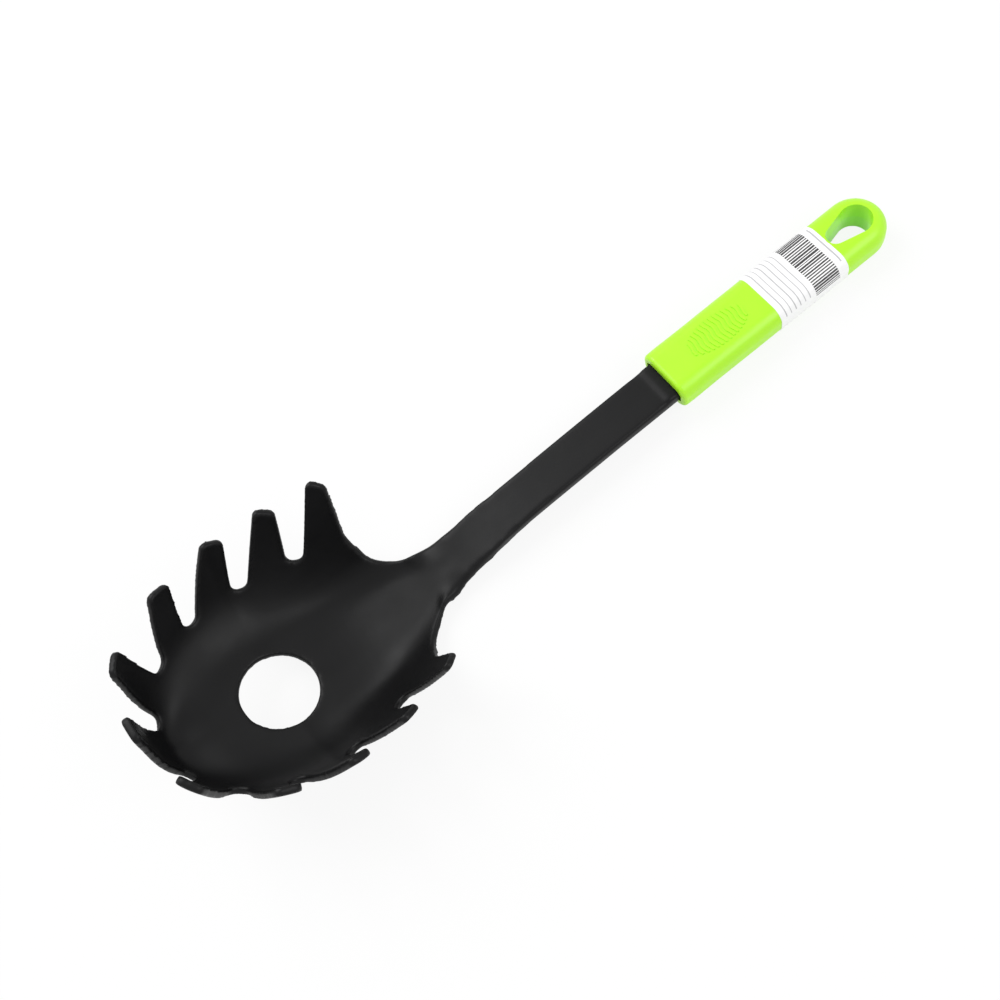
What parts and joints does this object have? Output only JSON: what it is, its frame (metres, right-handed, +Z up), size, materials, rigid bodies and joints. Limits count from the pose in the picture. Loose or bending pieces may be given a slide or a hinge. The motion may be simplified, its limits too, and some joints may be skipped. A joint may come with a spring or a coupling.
{
  "type": "pasta server",
  "caption": "Pasta server lying on its back: toothed black scoop with a round drain hole, flat shaft and a green sleeve handle with a hanging hole.",
  "frame": {"origin": "middle of the bounding box, on the table that the server lies on", "axes": "+X from the scoop to the handle's end, +Y across the server, +Z up, out of the scoop"},
  "size_m": [0.3002, 0.0908, 0.0641],
  "materials": {
    "black_nylon": "moulded nylon with a fine satin grain",
    "green_polypropylene": "moulded polypropylene, soft gloss",
    "white_paper": "coated paper sticker with plain bars and rules"
  },
  "bodies": {
    "root": {"server_moulding": "black_nylon", "handle_sleeve": "green_polypropylene", "label_sticker": "white_paper"}
  },
  "joints": []
}
